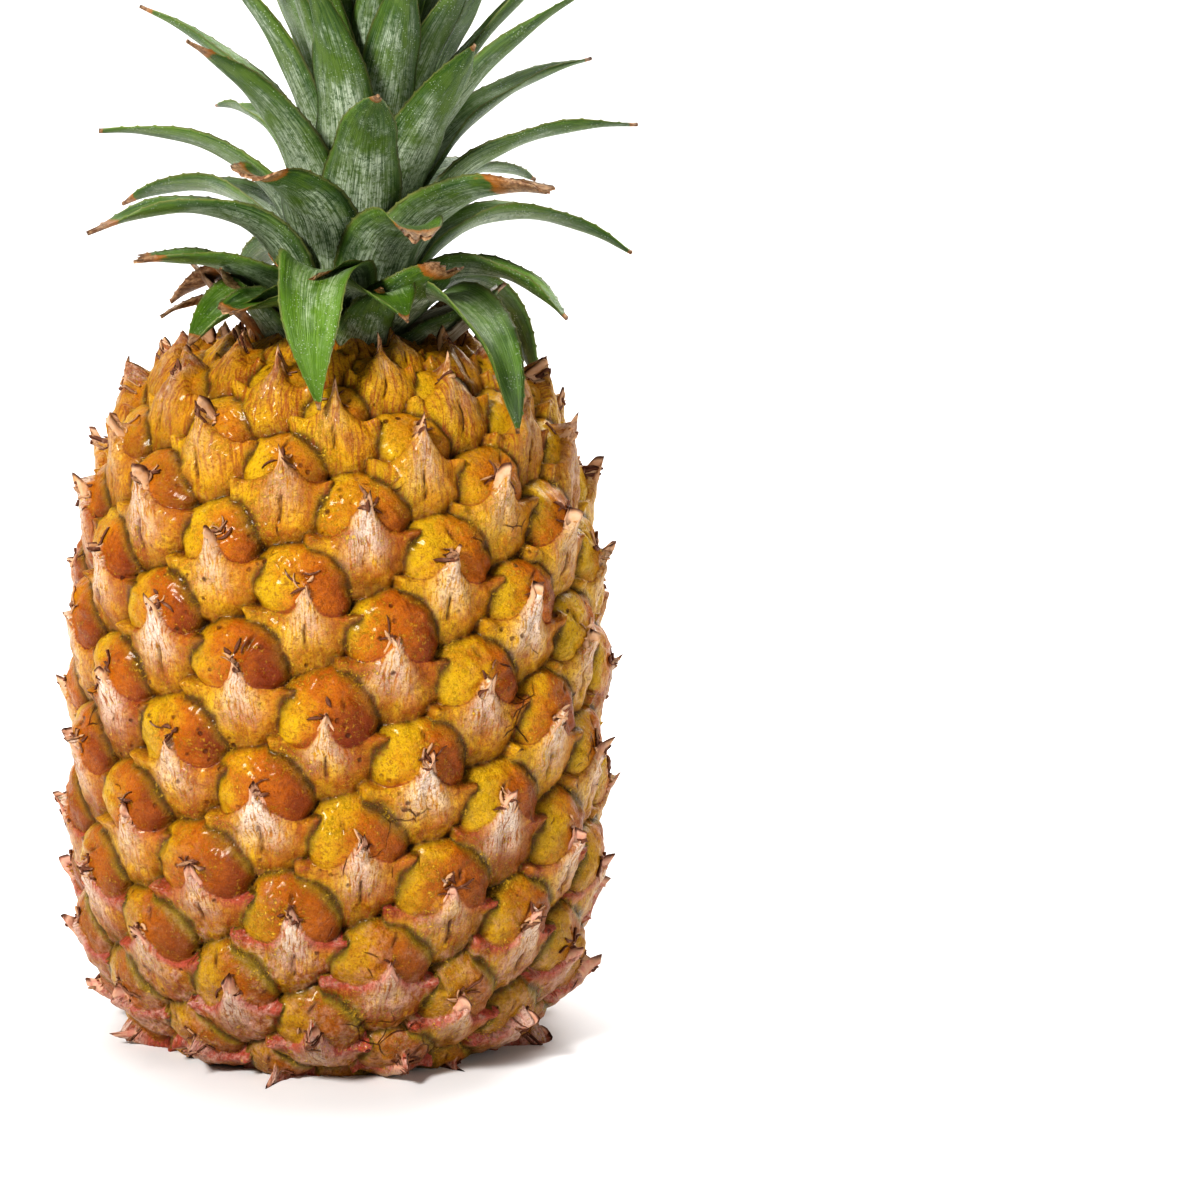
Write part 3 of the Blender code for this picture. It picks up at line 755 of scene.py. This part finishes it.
class Strips:
    """Thin closed strips that lie on the skin, gathered so that the skin under them is worked out once."""

    def __init__(self):
        self.parts = {key: [] for key in ("angle", "along", "at_angle", "at_along", "lift")}
        self.values = {}
        self.faces = []
        self.count = 0

    def add(self, sections, values):
        """sections: (angle, along, angle and length where the skin is read, lift), from one side round."""
        around, samples = len(sections), len(sections[0][0])
        for key, column in zip(self.parts, range(5)):
            self.parts[key].append(
                np.stack([np.broadcast_to(one[column], samples) for one in sections], 1).ravel()
            )
        for key, numbers in values.items():
            self.values.setdefault(key, []).append(np.broadcast_to(numbers, (samples, around)).ravel())
        self.faces.extend((grid_faces(samples, around, True) + self.count).tolist())
        self.faces.append([self.count + i for i in range(around)][::-1])
        self.faces.append([self.count + (samples - 1) * around + i for i in range(around)])
        self.count += samples * around

    def make(self, name, material):
        parts = {key: np.concatenate(lists) for key, lists in self.parts.items()}
        ground, _ = skin_height(parts["at_angle"], parts["at_along"])
        points = BARREL.places(parts["angle"], parts["along"], ground + parts["lift"])
        values = {key: np.concatenate(lists) for key, lists in self.values.items()}
        return make_piece(name, points, self.faces, material, values)


def eyes_away_from_ends(margin):
    """(eye, angle and length along of its middle, radius there, metres to a millimetre of a full eye)."""
    for eye in range(BARREL.first, BARREL.first + BARREL.count):
        middle, here = BARREL.middle_of(eye)
        if min(here, BARREL.length - here) - CORE_RADIUS > margin:
            radius = max(float(BARREL.at(here, "radius")), CORE_RADIUS)
            half = math.sqrt(BARREL.at(here, "rise") * 2.0 * math.pi * radius) * EYE_HALF_SHARE
            yield eye, middle, here, radius, half / FULL_EYE * 0.001


def add_spines():
    """The spine that ends each bract, with a little of the free edge on both sides of it."""
    strips = Strips()
    samples, reach = 17, 1.6
    offsets = np.linspace(-1.0, 1.0, samples)
    offsets = np.sign(offsets) * np.abs(offsets) ** 1.4 * reach
    around = ((-1.6, -0.4, 0.0), (-0.6, 0.30, 0.35), (0.0, 1.0, 1.0), (0.15, 0.30, 0.45), (0.25, -0.6, 0.0))
    for eye, middle, here, radius, full in eyes_away_from_ends(0.002):
        tall = float(spikiness(np.array(here)))
        x = lean_of(eye) + offsets
        spine = np.exp(-((offsets / 0.85) ** 2))
        spike = tall**0.3 * (0.40 + 0.55 * BARREL.own(eye, 6))
        fade = np.clip(1.0 - (np.abs(offsets) / reach) ** 2, 0.0, 1.0)
        sideways = (BARREL.own(eye, 7) - 0.5) * 1.8 * spine
        sections = []
        for back, out, up in around:
            y = margin_line(x, eye, tall) + back
            lift = (0.20 * fade + 1.3 * spine * spike) * max(out, 0.0) - (0.5 if out < 0.0 else 0.0)
            angle = middle + (x + sideways * up) * full / radius
            along = here + (y + (0.1 * fade + 2.4 * spine * spike) * up) * full
            sections.append((angle, along, middle + x * full / radius, here + y * full, lift * full))
        low = 1.0 - float(smoothstep((float(BARREL.at(here, "height")) / FRUIT_HEIGHT - 0.05) / 0.6))
        values = {
            "tip": np.array([0.0, 0.35, 1.0, 0.45, 0.0]) * (0.25 + 0.75 * spine)[:, None],
            "low": low,
            "tint": BARREL.own(eye, 3) * 9.0,
            "across": offsets[:, None] / 10.0,
            "spine": np.exp(-((offsets / 3.0) ** 2))[:, None],
        }
        strips.add(sections, values)
    return strips.make("bract_spines", bract_look())


def add_remnants():
    """Shrivelled petals and sepals: short curled strips that lie about the tip of each bract."""
    spread = np.random.default_rng(21)
    strips = Strips()
    samples = 9
    steps = np.linspace(0.0, 1.0, samples)
    belly = np.sin(math.pi * np.clip(steps * 0.92 + 0.06, 0.0, 1.0)) ** 0.7
    around = ((-1.0, 0.25), (0.0, 0.45), (1.0, 0.25), (0.0, -0.3))
    for eye, middle, here, radius, full in eyes_away_from_ends(0.004):
        for _ in range(int(spread.integers(3, 10))):
            start = (lean_of(eye) + spread.normal(0.0, 0.9), spread.normal(1.9, 1.0))
            way = spread.uniform(-0.6, math.pi + 0.6)
            length = 1.5 + 3.8 * spread.random() ** 1.6
            course = way + spread.uniform(-1.3, 1.3) * steps
            x = start[0] + summed(np.cos(course[1:])) * length / samples
            y = start[1] + summed(np.sin(course[1:])) * length / samples
            width = spread.uniform(0.14, 0.50) * belly
            lift = 0.05 + 0.6 * spread.random() * steps**2
            sections = []
            for side, rise in around:
                angle = middle + (x - np.sin(course) * width * side) * full / radius
                along = here + (y + np.cos(course) * width * side) * full
                sections.append((angle, along, angle, along, (lift + rise) * full))
            strips.add(sections, {"tone": 0.85 * spread.random() ** 2.2})
    return strips.make("flower_remnants", remnant_look())


# ---- the crown


def stem_radius(height):
    share = np.clip(height / STEM_LENGTH, 0.0, 1.0)
    return STEM_FOOT_RADIUS + (STEM_TIP_RADIUS - STEM_FOOT_RADIUS) * share**STEM_TAPER


def tilted(points):
    """From the crown's own frame to the row's."""
    x, y, z = points.T
    c, s = math.cos(CROWN_TILT), math.sin(CROWN_TILT)
    return np.stack([x * c + z * s, y, z * c - x * s + CROWN_FOOT], 1)


class Leaf:
    """One leaf of the crown, from its place in the spiral, as in the solid model."""

    neck = False
    paleness = 0.0

    def __init__(self, number, spread):
        age = number / (LEAF_COUNT - 1)
        self.number = number
        self.age = age
        self.height = FIRST_LEAF_HEIGHT + LEAF_STEP * number
        self.thickness = OLD_THICKNESS + (YOUNG_THICKNESS - OLD_THICKNESS) * age
        self.azimuth = LEAF_PHASE - number * GOLDEN_ANGLE + math.radians(spread.uniform(-3, 3))
        self.length = (0.044 + 0.021 * math.sin(math.pi * age / 1.15)) * spread.uniform(0.94, 1.06)
        self.width = (0.0220 - 0.0050 * age - 0.0080 * age**3) * spread.uniform(0.95, 1.05)
        self.foot_lean = math.radians(10.0 - 4.0 * age)
        frontness = ((1.0 - math.sin(self.azimuth)) / 2.0) ** 2 * smoothstep((age - 0.15) / 0.2)
        self.length *= 1.0 - FRONT_SHORTENING * frontness
        half_age = HALF_LEAN_AGE - FRONT_RISE * frontness
        self.tip_lean = YOUNG_TIP_LEAN + ARCHING_LEAN / (1.0 + (age / half_age) ** LEAN_FALL)
        self.sway = math.radians(spread.uniform(-9, 9))
        if number < len(SKIRT):
            self.length = SKIRT[number][0]
            self.tip_lean, self.sway = map(math.radians, SKIRT[number][1:])
        self.kept = BLUNT.get(number, 1.0)
        self.early_bend = 1.4 + 0.5 * (1.0 - age) ** 3
        if number < len(SKIRT):
            while not self.clears_fruit():
                self.tip_lean -= LEAN_STEP

    def clears_fruit(self):
        along, across = np.meshgrid(np.linspace(0.15, 1.0, 18), np.linspace(-1.0, 1.0, 5))
        x, y, z = tilted(self.points(along.ravel(), across.ravel())).T
        top = BARREL.height > FRUIT_HEIGHT * WAIST_SHARE
        radius, height = BARREL.radius[top], BARREL.height[top]
        out = np.hypot(x, y)
        room = np.hypot(out[:, None] - radius, z[:, None] - height).min(axis=1)
        inside = out < np.interp(z, height, radius, right=0.0)
        return not inside.any() and room.min() > EYE_RISE + self.thickness / 2 + SKIRT_GAP

    def lean(self, along):
        bent = 1.0 - (1.0 - along) ** self.early_bend
        return self.foot_lean + (self.tip_lean - self.foot_lean) * bent

    def half_width(self, along):
        foot = CLASP_ANGLE * (stem_radius(self.height) + SEAT_GAP)
        widening = foot + (self.width / 2 - foot) * smoothstep(along / 0.25)
        return np.maximum(widening * (1.0 - along**2.2) ** 0.9, TIP_WIDTH / 2)

    def points(self, along, across):
        """Places on the leaf's middle surface, in the crown's frame."""
        along = along * self.kept
        steps = np.linspace(0.0, 1.0, 81)
        lean = self.lean(steps)
        middle = (lean[1:] + lean[:-1]) / 2
        out = summed(np.sin(middle)) * self.length / 80
        up = summed(np.cos(middle)) * self.length / 80
        foot = stem_radius(self.height) + SEAT_GAP + self.thickness / 2
        wrap = CLASP_ANGLE + (TROUGH_ANGLE - CLASP_ANGLE) * smoothstep(along / 0.4)
        channel = self.half_width(along) / wrap
        turn = across * wrap
        tilt = self.lean(along)
        lift = channel * (1.0 - np.cos(turn))
        x = foot + np.interp(along, steps, out) - lift * np.cos(tilt)
        y = channel * np.sin(turn)
        z = self.height + np.interp(along, steps, up) + lift * np.sin(tilt)
        spin = self.azimuth + self.sway * along**2
        return np.stack([x * np.cos(spin) - y * np.sin(spin), x * np.sin(spin) + y * np.cos(spin), z], 1)


class NeckLeaf(Leaf):
    """One of the short leaves, some dry, that wrap the crown's foot and lie on the fruit's shoulder."""

    neck = True

    def __init__(self, number):
        azimuth, height, length, width, foot_lean, tip_lean, sway = NECK[number][:7]
        self.kept, self.dryness, self.paleness = NECK[number][7:]
        self.number = number
        self.age = 0.0
        self.height = height * 0.001
        self.thickness = 0.0007
        self.azimuth = math.radians(azimuth)
        self.length = length * 0.001
        self.width = width * 0.001
        self.foot_lean = math.radians(foot_lean)
        self.tip_lean = math.radians(tip_lean)
        self.sway = math.radians(sway)
        self.early_bend = 1.3
        while not self.clears_fruit() and self.tip_lean > self.foot_lean:
            self.tip_lean -= LEAN_STEP


def add_leaf(leaf, look):
    """A closed blade, thin at its edges, with small teeth when old and a ragged end where the tip is lost."""
    spread = np.random.default_rng(100 + leaf.number)
    along = np.linspace(0.0, 1.0, LEAF_ROWS)
    around = np.concatenate(
        [np.linspace(-1.0, 1.0, LEAF_COLUMNS + 1), np.linspace(1.0, -1.0, LEAF_COLUMNS + 1)[1:-1]]
    )
    upper = np.concatenate([np.ones(LEAF_COLUMNS + 1), np.zeros(LEAF_COLUMNS - 1)])
    a, c = np.meshgrid(along, around, indexing="ij")
    side = np.where(np.abs(c) > 0.999, 0.0, np.where(upper[None, :] > 0.5, 1.0, -1.0))
    if leaf.kept < 1.0:
        ragged = 1.0 - 0.05 * (1.0 + np.sin(7.0 * c + leaf.number) * np.cos(13.0 * c)) * a**6
        a = a * ragged
    teeth = np.zeros_like(c)
    every = 6
    toothy = 1.0 - smoothstep((leaf.age - 0.35) / 0.35)
    rows = np.arange(LEAF_ROWS)
    is_tooth = ((rows + leaf.number) % every == 0) & (rows > 12) & (rows < LEAF_ROWS - 6)
    teeth[is_tooth, :] = 0.24 * toothy + 0.05
    wide = leaf.half_width(a * leaf.kept)
    c_out = c * (1.0 + np.where(np.abs(c) > 0.999, teeth * 0.0010 / np.maximum(wide, 0.002), 0.0))
    flat_a, flat_c = a.ravel(), c_out.ravel()
    middle = leaf.points(flat_a, flat_c)
    nudge = 1e-3
    ahead = leaf.points(np.minimum(flat_a + nudge, 1.0), flat_c) - leaf.points(
        np.maximum(flat_a - nudge, 0.0), flat_c
    )
    beside = leaf.points(flat_a, flat_c + nudge * 8) - leaf.points(flat_a, flat_c - nudge * 8)
    normal = np.cross(ahead, beside)
    normal /= np.linalg.norm(normal, axis=1)[:, None] + 1e-12
    inward = leaf.points(np.array([0.3]), np.array([0.0]))[0]
    hub = np.array([0.0, 0.0, inward[2] + 0.01])
    probe = len(along) // 3 * len(around) + LEAF_COLUMNS // 2
    if np.dot(normal[probe], hub - middle[probe]) < 0.0:
        normal = -normal
    thick = leaf.thickness * (MARGIN_SHARE + (1.0 - MARGIN_SHARE) * (1.0 - np.abs(c) ** 1.5)) / 2
    wave = 0.00040 * np.sin(a * 17.0 + leaf.number) * np.abs(c) ** 3 + 0.00010 * np.sin(a * 23.0 + 3.0 * c)
    wave = wave * smoothstep(a / 0.3)
    points = tilted(middle + normal * (side * thick + wave).ravel()[:, None])
    columns = len(around)
    faces = grid_faces(LEAF_ROWS, columns, True).tolist()
    for low in range(LEAF_COLUMNS):
        high = (columns - low) % columns
        next_high = (columns - low - 1) % columns
        for row, turned in ((0, False), (LEAF_ROWS - 1, True)):
            corners = [row * columns + k for k in (low, low + 1, next_high, high)]
            corners = list(dict.fromkeys(corners))
            if len(corners) > 2:
                faces.append(corners[::-1] if turned else corners)
    dryness = leaf.dryness if leaf.neck else DRY_TIPS.get(leaf.number, 0.012 + 0.018 * spread.random())
    dry = smoothstep((a - (1.0 - 2.2 * dryness)) / (2.2 * dryness))
    edge = 0.40 * smoothstep((np.abs(c) - 0.86) / 0.14) * (leaf.number in DRY_TIPS)
    dry = np.maximum(dry, edge * smoothstep((a - 0.25) / 0.3))
    values = {
        "along": a.ravel(),
        "across": c.ravel(),
        "upper": np.broadcast_to(upper, a.shape).ravel(),
        "dry": dry.ravel(),
        "tint": np.full(a.size, spread.random()),
        "pale": np.full(a.size, float(leaf.paleness)),
    }
    if leaf.neck:
        return make_piece(f"neck_leaf_{leaf.number + 1:02d}", points, faces, look, values)
    name = f"leaf_{leaf.number + 1:02d}"
    return make_piece(f"blade_{leaf.number + 1:02d}", points, faces, look, values, name)


def add_crown():
    look = leaf_look()
    spread = random.Random(SPREAD_SEED)
    for number in range(LEAF_COUNT):
        add_leaf(Leaf(number, spread), look)
    for number in range(len(NECK)):
        add_leaf(NeckLeaf(number), look)


# ---- the stalk


def add_stalk():
    """The stub with its cut face on the ground and a slightly uneven rind."""
    rings, columns = 22, 96
    turns = np.linspace(-math.pi, math.pi, columns, endpoint=False)
    radii = np.concatenate([np.linspace(0.0006, STALK_RADIUS, rings), np.full(6, STALK_RADIUS)])
    heights = np.concatenate([np.zeros(rings), np.linspace(0.0003, STALK_HIGH.z, 6)])
    points, rim = [], []
    for radius, height in zip(radii, heights):
        wobble = 1.0 - 0.015 * (1.0 + np.sin(turns * 7.0) * np.cos(turns * 3.0)) * (radius / STALK_RADIUS)
        rind = radius * wobble
        points.append(np.stack([rind * np.cos(turns), rind * np.sin(turns), np.full(columns, height)], 1))
        rim.append(np.full(columns, radius / STALK_RADIUS + (0.2 if height > 0 else 0.0)))
    points = np.concatenate(points)
    faces = grid_faces(rings + 6, columns, True)[:, ::-1].tolist()
    faces.append(list(range(columns)))
    faces.append([len(points) - columns + i for i in range(columns)][::-1])
    return make_piece(
        "stalk_end", points, faces, stalk_look(), {"rim": np.concatenate(rim)}, "cut_stalk"
    )


# ---- studio


def plain_look(name, colour, roughness):
    look = Look(name)
    fine = look.noise(30.0, 3.0)
    return look.finish(
        look.mix(look.ramp(fine, 0.3, 0.7, 0.0, 0.3), colour, tuple(c * 0.985 for c in colour)), roughness
    )


def add_studio():
    """A pale sweep of floor and wall, a broad key from the upper left and softer light all round."""
    bend, depth, height, half = 0.6, 1.1, 2.2, 3.0
    turns = np.linspace(0.0, math.pi / 2, 24)
    y = np.concatenate([[-3.0], depth + bend * np.sin(turns), [depth + bend]])
    z = np.concatenate([[0.0], bend * (1.0 - np.cos(turns)), [height]])
    points = [(x, b, c) for b, c in zip(y, z) for x in (-half, half)]
    faces = grid_faces(len(y), 2, False)[:, ::-1]
    mesh = bpy.data.meshes.new("sweep")
    mesh.from_pydata(points, [], faces.tolist())
    mesh.materials.append(plain_look("sweep_paper", (0.82, 0.82, 0.82), 0.9))
    mesh.shade_smooth()
    placed("sweep", mesh)

    world = bpy.data.worlds.new("studio")
    world.use_nodes = True
    background = world.node_tree.nodes["Background"]
    background.inputs["Color"].default_value = (1.0, 1.0, 1.0, 1.0)
    background.inputs["Strength"].default_value = 0.16
    bpy.context.scene.world = world

    fruit_middle, foot_of_wall = Vector((0.0, 0.0, 0.12)), Vector((0.0, 1.5, 0.2))
    for name, place, aim, size, watts in (
        ("wall_wash", (0.0, 0.75, 1.7), foot_of_wall, 1.6, 30.0),
        ("key", (-0.70, -0.95, 0.85), fruit_middle, 0.26, 19.0),
        ("fill", (0.95, -0.85, 0.40), fruit_middle, 0.60, 3.0),
        ("rim", (0.55, 0.75, 0.75), fruit_middle, 0.50, 6.0),
    ):
        lamp = bpy.data.lights.new(name, "AREA")
        lamp.size = size
        lamp.energy = watts
        light = placed(name, lamp)
        light.location = place
        light.rotation_euler = (aim - Vector(place)).to_track_quat("-Z", "Y").to_euler()


def add_camera():
    """An 85 mm lens in front of the pineapple, turned right so that the fruit stands left of the middle."""
    distance, height = 0.6055, 0.0932
    elevation, yaw, roll = math.radians(8.0), math.radians(5.28), math.radians(1.2)
    lens = bpy.data.cameras.new("camera")
    lens.lens = 85.0
    lens.sensor_width = 36.0
    camera = placed("camera", lens)
    camera.location = (0.0, -distance * math.cos(elevation), height + distance * math.sin(elevation))
    look = Vector(
        (math.sin(yaw) * math.cos(elevation), math.cos(yaw) * math.cos(elevation), -math.sin(elevation))
    )
    camera.rotation_euler = (look.to_track_quat("-Z", "Y") @ Quaternion((0.0, 0.0, 1.0), roll)).to_euler()
    bpy.context.scene.camera = camera


add_skin()
add_spines()
add_remnants()
add_crown()
add_stalk()
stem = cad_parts["crown_stem"]
stem.data.materials.clear()
stem.data.materials.append(pith_look())
add_studio()
add_camera()
bpy.context.scene.view_settings.view_transform = "Standard"
bpy.context.scene.view_settings.look = "High Contrast"
